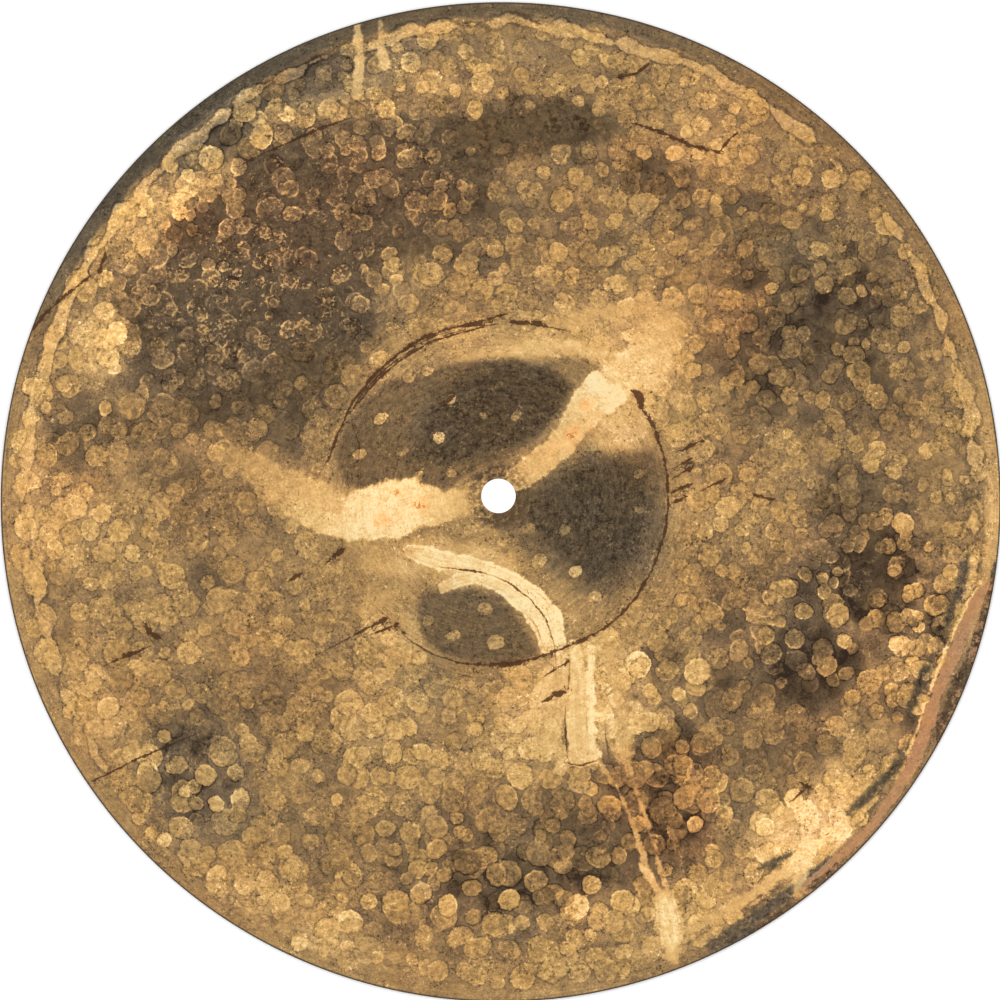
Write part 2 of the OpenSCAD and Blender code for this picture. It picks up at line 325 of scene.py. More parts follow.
# ---------------------------------------------------------------- rubbed streaks, stains and cuts
# The lengths in these tables are in hundredths.
# A rub is a list of (x, y, half width, tone), with the softness of its edge and how lined it is.
RUBS = [
    # across the bell to the left, crisp on the bell and soft at its far end
    ([(-36, -2.2, 4.2, 0.82), (-30, -4, 4.6, 0.96), (-25, -3, 5.2, 1.0), (-20.5, -2.3, 6, 0.98),
      (-17, -1.8, 5.2, 0.96), (-13.7, -2, 3.9, 0.87), (-10, -2, 2.8, 0.82), (-6.5, -0.7, 2.8, 0.76),
      (-4, 0.2, 2.6, 0.7)], 0.5, 0.1),
    ([(-54, 8, 1.4, 0.55), (-48, 5.5, 2.8, 0.64), (-42, 2, 4, 0.74), (-36, -1.6, 4.2, 0.84),
      (-32, -3, 4.4, 0.9)], 1.2, 0.0),
    # across the bell to the upper right
    ([(4.2, 3.6, 2.6, 0.74), (11.6, 9.3, 2.6, 0.78), (15.2, 14.4, 3, 0.82), (18.2, 18.7, 3.8, 0.9),
      (20.8, 21.2, 4.4, 1.0), (23.4, 22.8, 4, 1.0)], 0.3, 0.1),
    ([(21.4, 22, 3.8, 1.0), (25, 24, 4.6, 1.0), (29, 27, 4.8, 0.93), (32, 32, 4, 0.78),
      (33, 37, 2.4, 0.68)], 1.2, 0.0),
    # bands of pale gold above the bell's upper stain
    ([(-8, 28, 0.6, 0.6), (1, 29, 1, 0.76), (7, 29.6, 1.6, 0.85), (14, 29.6, 1.7, 0.86),
      (20, 28.4, 1.4, 0.8)], 0.9, 0.0),
    ([(8, 34, 0.6, 0.58), (16, 35.4, 1.4, 0.66), (24, 37, 1.8, 0.7), (30, 38.4, 1.6, 0.66)], 1.0, 0.0),
    # the arc below the hole, two bands side by side
    ([(-17.4, -10.8, 1.3, 0.8), (-14.6, -11.6, 1.8, 0.9), (-11.4, -12.6, 1.9, 0.92),
      (-4, -13.6, 1.4, 0.95), (2.1, -16.1, 1.4, 0.97), (7, -19.2, 1.7, 1.0), (10.4, -23.2, 1.9, 1.0),
      (11.9, -29.4, 1.5, 0.95), (12.2, -32.5, 1, 0.84)], 0.25, 0.6),
    ([(-11, -17.9, 1.1, 0.8), (-8.2, -16.6, 1.3, 0.86), (-4.6, -15.8, 1.2, 0.92), (1.3, -18, 1.3, 0.93),
      (5.2, -21.3, 1.7, 0.98), (8, -24.8, 1.8, 0.98), (9.7, -29.8, 1.4, 0.92)], 0.25, 0.6),
    # the brushed strands below it
    ([(13, -31, 2, 0.88), (11, -37, 3.6, 0.87), (9.6, -43, 3.8, 0.8), (9, -48, 2.6, 0.72)], 0.9, 0.3),
    ([(14.6, -29.6, 1.4, 0.88), (15.4, -36, 2.2, 0.88), (15.7, -46, 2.4, 0.84),
      (16.2, -51, 2.4, 0.82)], 0.35, 0.3),
    ([(18.2, -29.6, 0.6, 0.94), (17.9, -38, 0.8, 0.98), (17.9, -47, 0.9, 0.98),
      (19, -51.4, 1.3, 0.92)], 0.3, 0.2),
    ([(21.6, -31, 1.2, 0.7), (23.6, -38, 1.2, 0.68), (24.8, -48, 1.4, 0.76),
      (24.6, -51, 1.5, 0.8)], 0.9, 0.3),
    ([(12, -49.6, 1, 0.76), (12.2, -53.6, 1.2, 0.78)], 0.4, 0.3),
    # thin runs down from it
    ([(20.4, -53, 0.5, 0.6), (23, -57, 0.4, 0.66), (25.8, -63, 0.4, 0.62), (28, -69, 0.5, 0.66),
      (29.4, -74, 0.5, 0.68), (32, -79, 0.6, 0.76)], 0.25, 0.0),
    ([(24.6, -51, 0.5, 0.62), (26.8, -57, 0.4, 0.6), (28.6, -62, 0.5, 0.7), (30.6, -68, 0.5, 0.66),
      (32, -74, 0.4, 0.7), (33.6, -79, 0.6, 0.8)], 0.25, 0.0),
    ([(27.6, -72.4, 0.3, 0.84), (29.4, -74.6, 1, 0.86), (30.4, -76, 0.5, 0.8)], 0.3, 0.0),
    ([(32.6, -79, 1.8, 0.86), (33.4, -83, 2.4, 0.94), (34.2, -87, 2.2, 0.9),
      (34.4, -91.5, 1.2, 0.78)], 0.5, 0.5),
    ([(-28.7, 96, 0.5, 0.6), (-28.3, 92, 0.9, 0.68), (-28.1, 88, 1, 0.72),
      (-28.6, 81, 0.9, 0.62)], 0.35, 0.0),
    ([(-24.2, 97, 0.3, 0.58), (-23.8, 92.5, 0.6, 0.66), (-23.2, 87, 1.1, 0.74)], 0.35, 0.0),
    # the tail of the pale patch at the lower right, the stripe along the rim, and the copper's bright edge
    ([(61, -69.4, 2.2, 0.94), (59.4, -73.6, 1.8, 0.88), (60, -78, 1.3, 0.78)], 0.8, 0.0),
    ([(57, -73.5, 1.2, 0.8), (51, -78, 0.9, 0.72), (44, -82.4, 1.1, 0.7), (37, -86, 0.8, 0.66)], 0.4, 0.0),
    ([(96, -16.6, 0.3, 0.76), (92.9, -21.6, 0.5, 0.84), (90, -27.4, 0.5, 0.86), (88, -32.6, 0.5, 0.84),
      (85.6, -38.6, 0.4, 0.84), (83.5, -45, 0.4, 0.82), (80.9, -51.6, 0.3, 0.76)], 0.25, 0.0),
]
# The copper-pink streak along the rim, as (x, y, half width).
COPPER = [(97.8, -16, 0.5), (95.1, -20.1, 1.1), (92.4, -25.9, 1.3), (90.3, -30.9, 1.3), (87.2, -38.1, 1.0),
          (85.4, -43.9, 1.3), (83.6, -49.6, 1.3), (81.1, -54.7, 1.2), (77.8, -59.7, 1.0), (74.2, -64.8, 0.8),
          (70.6, -68.4, 0.9), (66.3, -72, 0.7), (60.5, -77, 0.4)]
RING_R = 95.2
RING_HALF = 1.15


def along_segments(points, x, y):
    """Signed and plain distance from each place to a line of points, and the line's other values there."""
    points = np.array(points, float)
    best = np.full(len(x), 1e9)
    signed = np.zeros(len(x))
    values = np.zeros((len(x), points.shape[1] - 2))
    for start, end in zip(points[:-1], points[1:]):
        step = end[:2] - start[:2]
        share = ((x - start[0]) * step[0] + (y - start[1]) * step[1]) / (step @ step)
        share = np.clip(share, 0, 1)
        aside, ahead = x - start[0] - share * step[0], y - start[1] - share * step[1]
        away = np.hypot(aside, ahead)
        here = start[2:] + share[:, None] * (end[2:] - start[2:])
        nearer = away < best
        best = np.where(nearer, away, best)
        side = np.sign(step[0] * ahead - step[1] * aside)
        signed = np.where(nearer, side * away, signed)
        values[nearer] = here[nearer]
    return signed, best, values


def take_where(better, fields, values):
    """Puts each value into its field at the points where it is better."""
    return [np.where(better, value, field) for field, value in zip(fields, values)]


def rub_fields(x, y):
    """For each point: depth in the nearest rub, its tone, softness and lines, and depth in the copper.

    Lengths are in millimetres.
    """
    x, y = x / HUNDREDTH, y / HUNDREDTH
    fields = [np.full(len(x), blank) for blank in (-9.0, 0.6, 0.5, 0.0)]
    for points, edge, lined in RUBS:
        _, away, values = along_segments(points, x, y)
        inside = values[:, 0] - away
        fields = take_where(inside > fields[0], fields, (inside, values[:, 1], edge, lined))
    depth, tone, soft, lines = fields
    _, away, values = along_segments(COPPER, x, y)
    copper = values[:, 0] - away
    unit = HUNDREDTH / MM
    return depth * unit, tone, soft * unit, lines, np.maximum(copper, -9) * unit


def ring_field(x, y):
    """Depth inside the thin wavering ring near the rim, in millimetres."""
    radius = np.hypot(x, y) / HUNDREDTH
    wander = 0.6 * cloud(x, y, 30 * MM, 20) + 0.6 * cloud(x, y, 10 * MM, 21)
    _, _, shows = rim_at(x, y)
    half = RING_HALF * (0.2 + 0.8 * shows) + 1.3 * cloud(x, y, 7 * MM, 22) - 0.9 * (1 - shows)
    return (half - np.abs(radius - RING_R - wander)) * HUNDREDTH / MM


# Stains lie under the hammer marks, as (outline, tone, softness of the edge).
STAINS = [
    ([(-66, 57), (-57, 62), (-52, 66), (-50, 70), (-42, 71.5), (-36, 75.5), (-22, 76), (-14, 74),
      (-4, 79), (18, 79.5), (21, 74), (8, 70.5), (-4, 64), (-10, 56), (-20, 47), (-25, 38), (-28, 27),
      (-32, 20), (-41, 15), (-50, 20), (-62, 19), (-71, 26), (-76, 33), (-74, 43), (-68, 49)], 0.17, 1.6),
    ([(-31, 3.5), (-32.5, 9), (-30.5, 14.5), (-27, 19), (-21.9, 23.3), (-13.7, 25), (-6.3, 26.7),
      (2.6, 27.4), (10, 25.9), (14.8, 22), (12.9, 18), (10, 13.7), (5.5, 10), (2, 7.6), (-4.1, 5.5),
      (-10.7, 1), (-20.3, 2), (-26, 1)], 0.26, 0.9),
    ([(-18, 6.5), (-15, 14), (-12, 20), (-7, 25), (2.6, 27), (10, 25.5), (14.4, 22), (12.4, 18),
      (9.5, 13.7), (5, 10.4), (0, 9), (-8, 6.6)], 0.13, 2.2),
    ([(2, 0.5), (8.6, 3.6), (13, 6.6), (17.5, 8.7), (23.4, 8.3), (29.3, 9.2), (32.5, 7), (33.2, 0.4),
      (32, -8.5), (29, -15), (24.5, -19), (18.9, -20), (14, -17.5), (8.6, -13), (3.5, -9.3), (-1.5, -5.6),
      (-1, -2.5)], 0.3, 1.1),
    ([(6, -0.5), (10, 2.6), (14, 4.8), (18, 6.8), (24, 7), (29, 6), (30, -2), (28, -10), (24, -15.6),
      (18, -17), (13.4, -13), (8.6, -8.5), (4.4, -4)], 0.14, 1.8),
    ([(-15.5, -19.4), (-13, -18.4), (-9.5, -18.6), (-4.7, -18), (0, -19.4), (3.4, -23), (6, -27.4),
      (7.8, -31), (1.7, -32.6), (-5.5, -32.2), (-11.4, -30.6), (-14.6, -28.2), (-16.2, -24)], 0.26, 0.9),
]

# Scale lies over the marks along the copper: outside it, and in slivers inside it.
SCALE = [
    ([(98.5, -12), (99.8, -13), (98.6, -22), (95, -33.4), (91.4, -42.6), (87.6, -49.4), (86.4, -47),
      (88.6, -40), (92, -33), (94.6, -26), (96.6, -20)], 0.16, 0.4),
    ([(69, -73.5), (62, -80.5), (54, -86), (47, -89.6), (42, -91.4), (41, -88), (49, -83), (57, -77.5),
      (62, -73.4), (66, -71)], 0.2, 0.6),
    ([(92.4, -11), (93.8, -11), (93.2, -16), (90.8, -21.6), (88.6, -27), (87.6, -26.4),
      (90, -20)], 0.18, 0.6),
    ([(86, -30), (86.8, -31), (84.4, -37), (82, -42.6), (80.6, -43.6), (81.2, -40),
      (83.8, -34)], 0.15, 0.6),
    ([(81.2, -48.4), (81.8, -48.6), (79.4, -54), (75, -59), (69.6, -62.6), (68.6, -62.2), (73, -58),
      (77.4, -53.6)], 0.18, 0.7),
    ([(58, -69.8), (58.2, -70.8), (54, -73.4), (50.6, -74), (52.4, -72.2)], 0.2, 0.6),
]


def outline_depth(outline, x, y):
    """How far inside a closed outline each point is, and below zero outside it."""
    closed = outline + outline[:1]
    _, away, _ = along_segments(closed, x, y)
    inside = np.zeros(len(x), bool)
    for (x1, y1), (x2, y2) in zip(closed[:-1], closed[1:]):
        if y1 != y2:
            crosses = (y1 > y) != (y2 > y)
            inside ^= crosses & (x < (x2 - x1) * (y - y1) / (y2 - y1) + x1)
    return np.where(inside, away, -away)


def stain_fields(stains, x, y):
    """Depth inside the nearest of the stains in millimetres, its tone, and the softness of its edge."""
    x, y = x / HUNDREDTH, y / HUNDREDTH
    depth, tone, soft = [np.full(len(x), blank) for blank in (-9.0, 0.2, 1.0)]
    for outline, value, edge in stains:
        inside = outline_depth(outline, x, y)
        depth, tone, soft = take_where(inside > depth, (depth, tone, soft), (inside, value, edge))
        tone += (value - tone) * smooth_step(inside, -edge, edge)
    unit = HUNDREDTH / MM
    return depth * unit, tone, soft * unit


def outside_copper(x, y):
    """1 on the rim's side of the copper streak and 0 on the bell's side."""
    signed, _, _ = along_segments(COPPER, x / HUNDREDTH, y / HUNDREDTH)
    return smooth_step(signed, -0.3, 0.3)


# Cuts are dark lines, as lists of (x, y, half width).
CUTS = [
    # the split round the foot of the bell, in its three runs
    [(-36, 4, 0.08), (-33.6, 8, 0.14), (-31.8, 13, 0.2), (-29, 19, 0.22), (-24.5, 24.6, 0.25),
     (-19.5, 29, 0.25), (-14.5, 32, 0.25), (-9.5, 33.6, 0.27), (-4, 34.8, 0.3), (1, 36.4, 0.16)],
    [(-29.4, 17, 0.12), (-25, 22.4, 0.2), (-20, 27, 0.2), (-14, 30.8, 0.2), (-8, 32.6, 0.16),
     (-1, 34.4, 0.12)],
    [(-29.4, 16, 0.06), (-27.5, 10, 0.14), (-28, 5, 0.06)],
    [(2.5, 34.6, 0.12), (8, 34.2, 0.22), (13, 33.2, 0.1)],
    [(26.6, 20.9, 0.3), (27.8, 20.2, 0.9), (28.2, 18, 0.4), (28.4, 17.2, 0.1), (29.4, 16, 0.6),
     (30.4, 14.4, 0.4), (31.4, 11.6, 0.24), (32.6, 8, 0.2), (33.3, 3.5, 0.2), (33.4, -2, 0.18),
     (32.8, -6.5, 0.2), (31.5, -11, 0.22), (29.8, -15, 0.24), (26.8, -20, 0.24), (22.5, -24.6, 0.24),
     (17.5, -27.6, 0.26), (12.5, -29.8, 0.26), (7, -31.8, 0.26), (2, -32.9, 0.3), (-4, -33, 0.26),
     (-8, -32.6, 0.16), (-13, -31, 0.12), (-17, -28.6, 0.12), (-20, -26.2, 0.05)],
    # gashes and scratches
    [(-34.2, -12.8, 0.1), (-32, -11.2, 0.45), (-31, -10.4, 0.3)], [(-42, -16.6, 0.1), (-39.6, -15.2, 0.35)],
    [(-36, -31, 0.08), (-28, -26.8, 0.15), (-22.5, -24, 0.3)], [(-25.5, -27, 0.1), (-20.3, -25.2, 0.3)],
    [(-20.2, -26, 0.4), (-18.8, -26.8, 0.2)], [(9, -35.2, 0.1), (13.4, -32.5, 0.25)],
    [(9, -40, 0.2), (11, -39, 0.55), (13.6, -38, 0.2)],
    [(-81, -56, 0.15), (-72, -51.6, 0.2), (-60, -46.5, 0.12)],
    [(-78.5, -33, 0.1), (-74, -31, 0.35), (-70, -29.5, 0.15)],
    [(-70.5, -24.8, 0.2), (-69, -27.2, 0.6), (-67, -27.8, 0.2)], [(60, -56.6, 0.25), (61.8, -57.4, 0.3)],
    [(58, -60, 0.1), (61, -57.2, 0.2)], [(2.5, 34.9, 0.3), (9, 34.5, 0.25)],
    [(27, 75, 0.15), (33, 73, 0.3), (38, 70.6, 0.35), (44, 69.2, 0.2)], [(44.5, 70.4, 0.2), (47, 73, 0.2)],
    [(-96, 32, 0.2), (-90, 38.5, 0.3), (-82.5, 44.6, 0.2)], [(-80.2, 46, 0.4), (-79, 49, 0.2)],
    [(24, 84.5, 0.3), (27.5, 85.4, 0.2), (29.5, 87, 0.15)], [(34, 1, 0.15), (37.6, 2.6, 0.3)],
    [(33.8, -1.3, 0.1), (36.6, 0, 0.25)], [(35, 4.2, 0.15), (38, 6, 0.3)],
    [(35.2, 6.2, 0.1), (37.6, 7.6, 0.25)], [(36, 9.4, 0.2), (40, 11.2, 0.35)],
    [(40, 1.5, 0.1), (44.5, 3.6, 0.25)], [(50.5, 0.6, 0.15), (54, -0.2, 0.25)],
    [(-11, 18, 0.3), (-9, 20, 0.3)],
    # the dark edge of the great stain, and the lines between the brushed strands
    [(-52.4, 66.6, 0.1), (-47, 69.4, 0.2), (-41.6, 71.6, 0.2), (-36, 74.2, 0.25), (-30, 76.2, 0.1)],
    [(13.3, -38, 0.02), (13, -43, 0.1), (13.2, -48, 0.14), (13.6, -52.6, 0.06)],
    [(17.2, -40, 0.02), (17.3, -45, 0.08), (17.6, -49, 0.02)],
    [(20.8, -43, 0.02), (21, -47, 0.1), (21.6, -51, 0.08)],
    [(13.4, -52.4, 0.1), (16, -52.9, 0.16), (19.6, -51.8, 0.08)],
    [(14, -31.6, 0.06), (13.8, -36, 0.1), (13.4, -39, 0.04)],
    # the dark line between the arc's two bands
    [(-14, -13.6, 0.04), (-9, -14.2, 0.12), (-4.3, -14.7, 0.14), (-1, -15.6, 0.06), (2, -17, 0.12),
     (6.3, -20.2, 0.14), (9.3, -24, 0.14), (10.9, -29, 0.1), (11.2, -33, 0.06)],
    [(4.4, -21.8, 0.02), (7.4, -25.4, 0.1), (9, -30, 0.04)],
    [(4.4, -16.6, 0.02), (9, -20, 0.08), (12, -25, 0.02)],
]


def cut_fields(x, y):
    """Signed distance to the nearest cut, plain distance to it, and its half width there, in millimetres."""
    x, y = x / HUNDREDTH, y / HUNDREDTH
    signed, away, half = [np.full(len(x), blank) for blank in (9.0, 9.0, 0.0)]
    for cut in CUTS:
        side, gap, values = along_segments(cut, x, y)
        signed, away, half = take_where(gap < away, (signed, away, half), (side, gap, values[:, 0]))
    unit = HUNDREDTH / MM
    return signed * unit, away * unit, half * unit


# ---------------------------------------------------------------- the disc's mesh
BELL_SPACING = 0.95 * MM
BOW_SPACING = 1.49 * MM
UNDER_SPACING = 3.3 * MM
WAVER = 0.28 * MM
RIPPLE = 0.1 * MM
GROOVE_DEPTH = 0.22 * MM
RIM_COUNT = 720
HOLE_COUNT = 96
LEAST_COUNT = 48
ROUNDING = 0.18 * MM
RING_STEP = math.sin(math.radians(60))


def spacing_at(radius):
    """How far apart vertices of the top lie: closer on the bell, where the finest lines are."""
    share = float(smooth_step(np.array(radius), 0.36 * disc_r, 0.4 * disc_r))
    return BELL_SPACING + share * (BOW_SPACING - BELL_SPACING)


def top_rings():
    """(radius, vertex count) of each ring of the top, from the hole to the rim."""
    rings = []
    radius = hole_r + ROUNDING
    while radius < disc_r - ROUNDING - 0.3 * BOW_SPACING:
        spacing = spacing_at(radius)
        rings.append((radius, max(LEAST_COUNT, round(2 * math.pi * radius / spacing))))
        radius += spacing * RING_STEP
    return rings


def under_rings():
    """(radius, vertex count) of each ring of the underside, from the rim to the hole."""
    step = UNDER_SPACING * RING_STEP
    count = round((disc_r - ROUNDING - 1.2 * MM - hole_r) / step)
    radii = np.linspace(disc_r - 1.0 * MM, hole_r + ROUNDING, count)
    return [(float(r), max(LEAST_COUNT, round(2 * math.pi * r / UNDER_SPACING))) for r in radii]


def profile_rings():
    """Every ring of the closed disc in order: (radius, height, count, side).

    The side is 1 on the top, -1 on the underside and 0 on the walls of the rim and the hole.
    """
    def top(radius):
        return float(np.interp(radius, PROFILE_R, PROFILE_TOP))

    def under(radius):
        return float(np.interp(radius, PROFILE_R, PROFILE_UNDER))

    rings = [(radius, top(radius), count, 1) for radius, count in top_rings()]
    rim_top = top(disc_r)
    rings += [(disc_r - ROUNDING, top(disc_r - ROUNDING), RIM_COUNT, 1),
              (disc_r - 0.3 * ROUNDING, rim_top - 0.3 * ROUNDING, RIM_COUNT, 0),
              (disc_r, rim_top - ROUNDING, RIM_COUNT, 0),
              (disc_r, ROUNDING, RIM_COUNT, 0),
              (disc_r - 0.3 * ROUNDING, 0.3 * ROUNDING, RIM_COUNT, 0),
              (disc_r - ROUNDING, 0.0, RIM_COUNT, -1)]
    rings += [(radius, under(radius), count, -1) for radius, count in under_rings()]
    rings += [(hole_r, under(hole_r) + ROUNDING, HOLE_COUNT, 0),
              (hole_r, top(hole_r) - ROUNDING, HOLE_COUNT, 0)]
    return rings


def stitch(first, count, next_first, next_count):
    """Triangles that join two rings of vertices, which may differ in number."""
    faces = []
    here = there = 0
    while here < count or there < next_count:
        behind = here < count and (here + 0.5) / count < (there + 0.5) / next_count
        a, b = first + here % count, next_first + there % next_count
        if behind or there >= next_count:
            faces.append((a, b, first + (here + 1) % count))
            here += 1
        else:
            faces.append((a, b, next_first + (there + 1) % next_count))
            there += 1
    return faces


def disc_shape():
    """The plain disc before it is hammered: vertices, triangles and the side of each vertex."""
    rings = profile_rings()
    points, sides, firsts = [], [], []
    for radius, height, count, side in rings:
        firsts.append(len(points))
        for step in range(count):
            angle = 2 * math.pi * step / count
            points.append((radius * math.cos(angle), radius * math.sin(angle), height))
            sides.append(side)
    faces = []
    for index, ring in enumerate(rings):
        following = (index + 1) % len(rings)
        faces += stitch(firsts[index], ring[2], firsts[following], rings[following][2])
    return np.array(points), np.array(faces)[:, ::-1], np.array(sides)


def hammered(points, sides, dishes, cuts):
    """Heights of the vertices once the disc is bent a little out of true, dented and cut."""
    x, y, z = points.T
    _, cut_away, cut_half = cuts
    radius = np.hypot(x, y) / disc_r
    free = smooth_step(radius, 0.08, 0.3) * (1 - smooth_step(radius, 0.9, 0.985))
    waver = WAVER * cloud(x, y, 34 * MM, 30) + RIPPLE * cloud(x, y, 15 * MM, 31)
    groove = GROOVE_DEPTH * np.exp(-(cut_away / 0.9) ** 2) * smooth_step(cut_half, 0.2, 0.9)
    flesh = (sides != 0) & (radius < 0.995)
    height = z + waver * free
    return np.where(flesh, height - dishes - np.where(sides > 0, groove, 0), z)


# Where each face lies on the map for baking: the middle of its disc, the same along and up, and its radius.
TOP_MAP = (0.414, 0.404)
UNDER_MAP = (0.829, 0.165)


def set_values(mesh, name, *columns):
    """Stores up to four values per vertex, for the material to read."""
    blank = np.zeros(len(mesh.vertices))
    columns = columns + (blank,) * (4 - len(columns))
    table = np.column_stack(columns).astype(np.float32)
    mesh.attributes.new(name, "FLOAT_COLOR", "POINT").data.foreach_set("color", table.ravel())


def lay_out_bake_map(mesh, points, sides):
    """A map for baking, with the top as a large disc and the underside as a small one."""
    rim_top, hole_top = np.interp([disc_r, hole_r], PROFILE_R, PROFILE_TOP)
    radius = np.hypot(points[:, 0], points[:, 1])
    # The walls of the rim and the hole stand upright, and lie just outside and just inside the top's disc.
    reach = np.where((sides == 0) & (radius > disc_r / 2), radius + rim_top - points[:, 2], radius)
    reach = np.where((sides == 0) & (radius < disc_r / 2), radius - hole_top + points[:, 2], reach)
    layer = mesh.uv_layers.new(name="OFBake")
    loops = np.empty(len(mesh.loops), int)
    mesh.loops.foreach_get("vertex_index", loops)
    on_top = np.repeat(sides[loops].reshape(-1, 3).sum(1) >= 0, 3)
    bearing = points[loops, :2] / radius[loops, None]
    top_spot = TOP_MAP[0] + TOP_MAP[1] * bearing * reach[loops, None] / disc_r
    under_spot = UNDER_MAP[0] + UNDER_MAP[1] * bearing * radius[loops, None] / disc_r
    spot = np.where(on_top[:, None], top_spot, under_spot)
    layer.data.foreach_set("uv", spot.astype(np.float32).ravel())


def brushing(x, y):
    """How strongly each point is brushed round the axis: most on the bell, round it, and at the rim."""
    radius = np.hypot(x, y) / disc_r + 0.03 * cloud(x, y, 12 * MM, 50)
    at_rim = smooth_step(radius, 0.955, 0.985)
    return 0.15 + 0.85 * (1 - smooth_step(radius, 0.36, 0.56)) + 0.75 * at_rim


def store_fields(mesh, x, y, marks, cuts):
    """Stores on the mesh every value that its material reads."""
    for number, (edge, leaning, value, sure, _) in enumerate(marks, 1):
        set_values(mesh, f"mark_{number}", edge / MM, leaning, value, sure)
    *rub, copper = rub_fields(x, y)
    set_values(mesh, "ground", *ground_fields(x, y))
    set_values(mesh, "rub", *rub)
    set_values(mesh, "scale", *stain_fields(SCALE, x, y), outside_copper(x, y))
    set_values(mesh, "copper", copper)
    set_values(mesh, "cut", *cuts, ring_field(x, y))
    set_values(mesh, "stain", *stain_fields(STAINS, x, y), brushing(x, y))


def build_disc():
    """The finished cymbal as one closed mesh, with the values that its material reads."""
    points, faces, sides = disc_shape()
    x, y, _ = points.T
    layers = [lay_marks(layer) for layer in range(MARK_LAYERS)]
    layers[-1] = [np.concatenate(pair) for pair in zip(layers[-1], lay_bell_marks())]
    marks = [mark_fields(layer, x, y) for layer in layers]
    cuts = cut_fields(x, y)
    dishes = sum(fields[4] for fields in marks)
    points[:, 2] = hammered(points, sides, dishes, cuts)
    mesh = bpy.data.meshes.new("cymbal_disc")
    mesh.from_pydata(points.tolist(), [], faces.tolist())
    mesh.polygons.foreach_set("use_smooth", np.ones(len(mesh.polygons), bool))
    store_fields(mesh, x, y, marks, cuts)
    lay_out_bake_map(mesh, points, sides)
    mesh.validate()
    mesh.update()
    disc = bpy.data.objects.new("cymbal_disc", mesh)
    bpy.context.scene.collection.objects.link(disc)
    return disc


# ---------------------------------------------------------------- materials
# Colours given as they look on a screen are darkened by this factor, to suit the light of the stage.
ALBEDO = 0.8


def from_screen(red, green, blue):
    """A colour given as it looks on a screen, from 0 to 255, as the light values that shaders use."""
    parts = [part / 255 for part in (red, green, blue)]
    light = [part / 12.92 if part <= 0.04045 else ((part + 0.055) / 1.055) ** 2.4 for part in parts]
    return (*[ALBEDO * part for part in light], 1.0)


class Value:
    """A number that differs from place to place: an output of a node, reckoned with like any number."""

    def __init__(self, nodes, socket):
        self.nodes = nodes
        self.socket = socket

    def __add__(self, other):
        return self.nodes.math("ADD", self, other)

    def __sub__(self, other):
        return self.nodes.math("SUBTRACT", self, other)

    def __mul__(self, other):
        return self.nodes.math("MULTIPLY", self, other)

    def __truediv__(self, other):
        return self.nodes.math("DIVIDE", self, other)

    def __abs__(self):
        return self.nodes.math("ABSOLUTE", self)

    __radd__ = __add__
    __rmul__ = __mul__

    def at_least(self, least):
        """This, or least where this is below it."""
        return self.nodes.math("MAXIMUM", self, least)

    def at_most(self, most):
        """This, or most where this is above it."""
        return self.nodes.math("MINIMUM", self, most)

    def band(self, low, high, to_low=0.0, to_high=1.0):
        """A smooth change from to_low where this is at low to to_high where it is at high."""
        node = self.nodes.add("ShaderNodeMapRange", {"interpolation_type": "SMOOTHSTEP"}, Value=self,
                              From_Min=low, From_Max=high, To_Min=to_low, To_Max=to_high)
        return Value(self.nodes, node.outputs[0])


